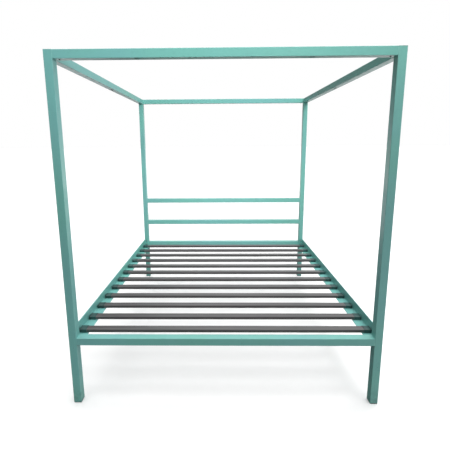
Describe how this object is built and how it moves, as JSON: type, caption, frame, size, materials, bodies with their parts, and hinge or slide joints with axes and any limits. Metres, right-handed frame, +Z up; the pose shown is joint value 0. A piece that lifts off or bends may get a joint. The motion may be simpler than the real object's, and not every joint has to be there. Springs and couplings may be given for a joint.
{
  "type": "four poster canopy bed",
  "caption": "Canopy bed frame in square steel tube: tall corner posts, top rails, a plain barred headboard, angle side rails with ledges, and lift-out steel slats.",
  "frame": {"origin": "on the floor, under the middle of the bed", "axes": "+Z up, +Y from the foot of the bed to the head, +X to the right as seen from the foot"},
  "size_m": [2.05, 2.15, 2.265],
  "materials": {
    "teal_paint": "satin powder coat in blue green over steel, with slight blotches and rubbed edges",
    "slat_coating": "semi-matt dark grey coating over steel tube, with long rub marks",
    "cap_plastic": "moulded black polyethylene, slightly waxy",
    "glide_plastic": "moulded black nylon, scuffed sole",
    "stub_primer": "grey primer, hidden inside the rails",
    "black_steel": "black oxide, lightly oiled",
    "zinc_steel": "bright zinc plate"
  },
  "bodies": {
    "frame": {"post_front_left": "teal_paint", "foot_glide_front_left": "glide_plastic", "post_stubs_front_left": "stub_primer", "side_rail_plate_front_left": "teal_paint", "canopy_side_rail_front_left": "teal_paint", "post_front_right": "teal_paint", "foot_glide_front_right": "glide_plastic", "post_stubs_front_right": "stub_primer", "side_rail_plate_front_right": "teal_paint", "canopy_side_rail_front_right": "teal_paint", "post_rear_left": "teal_paint", "foot_glide_rear_left": "glide_plastic", "post_stubs_rear_left": "stub_primer", "side_rail_plate_rear_left": "teal_paint", "canopy_side_rail_rear_left": "teal_paint", "post_rear_right": "teal_paint", "foot_glide_rear_right": "glide_plastic", "post_stubs_rear_right": "stub_primer", "side_rail_plate_rear_right": "teal_paint", "canopy_side_rail_rear_right": "teal_paint", "post_top_caps": "teal_paint", "foot_rail": "teal_paint", "head_rail": "teal_paint", "headboard_lower_bar": "teal_paint", "headboard_upper_bar": "teal_paint", "canopy_front_rail": "teal_paint", "canopy_rear_rail": "teal_paint", "canopy_splice_left": "stub_primer", "side_rail_left": "teal_paint", "canopy_splice_right": "stub_primer", "side_rail_right": "teal_paint", "side_rail_bolts": "zinc_steel", "weld_nuts": "zinc_steel", "cross_rail_screws": "black_steel", "canopy_side_screws": "black_steel"},
    "slat_01": {"slat_01": "slat_coating", "slat_caps_01": "cap_plastic"},
    "slat_02": {"slat_02": "slat_coating", "slat_caps_02": "cap_plastic"},
    "slat_03": {"slat_03": "slat_coating", "slat_caps_03": "cap_plastic"},
    "slat_04": {"slat_04": "slat_coating", "slat_caps_04": "cap_plastic"},
    "slat_05": {"slat_05": "slat_coating", "slat_caps_05": "cap_plastic"},
    "slat_06": {"slat_06": "slat_coating", "slat_caps_06": "cap_plastic"},
    "slat_07": {"slat_07": "slat_coating", "slat_caps_07": "cap_plastic"},
    "slat_08": {"slat_08": "slat_coating", "slat_caps_08": "cap_plastic"},
    "slat_09": {"slat_09": "slat_coating", "slat_caps_09": "cap_plastic"},
    "slat_10": {"slat_10": "slat_coating", "slat_caps_10": "cap_plastic"},
    "slat_11": {"slat_11": "slat_coating", "slat_caps_11": "cap_plastic"},
    "slat_12": {"slat_12": "slat_coating", "slat_caps_12": "cap_plastic"}
  },
  "joints": [
    {"name": "slat_01_lift", "type": "slide", "parent": "frame", "child": "slat_01", "axis": [0, 0, 1], "range_m": [0, 0.12]},
    {"name": "slat_02_lift", "type": "slide", "parent": "frame", "child": "slat_02", "axis": [0, 0, 1], "range_m": [0, 0.12]},
    {"name": "slat_03_lift", "type": "slide", "parent": "frame", "child": "slat_03", "axis": [0, 0, 1], "range_m": [0, 0.12]},
    {"name": "slat_04_lift", "type": "slide", "parent": "frame", "child": "slat_04", "axis": [0, 0, 1], "range_m": [0, 0.12]},
    {"name": "slat_05_lift", "type": "slide", "parent": "frame", "child": "slat_05", "axis": [0, 0, 1], "range_m": [0, 0.12]},
    {"name": "slat_06_lift", "type": "slide", "parent": "frame", "child": "slat_06", "axis": [0, 0, 1], "range_m": [0, 0.12]},
    {"name": "slat_07_lift", "type": "slide", "parent": "frame", "child": "slat_07", "axis": [0, 0, 1], "range_m": [0, 0.12]},
    {"name": "slat_08_lift", "type": "slide", "parent": "frame", "child": "slat_08", "axis": [0, 0, 1], "range_m": [0, 0.12]},
    {"name": "slat_09_lift", "type": "slide", "parent": "frame", "child": "slat_09", "axis": [0, 0, 1], "range_m": [0, 0.12]},
    {"name": "slat_10_lift", "type": "slide", "parent": "frame", "child": "slat_10", "axis": [0, 0, 1], "range_m": [0, 0.12]},
    {"name": "slat_11_lift", "type": "slide", "parent": "frame", "child": "slat_11", "axis": [0, 0, 1], "range_m": [0, 0.12]},
    {"name": "slat_12_lift", "type": "slide", "parent": "frame", "child": "slat_12", "axis": [0, 0, 1], "range_m": [0, 0.12]}
  ]
}
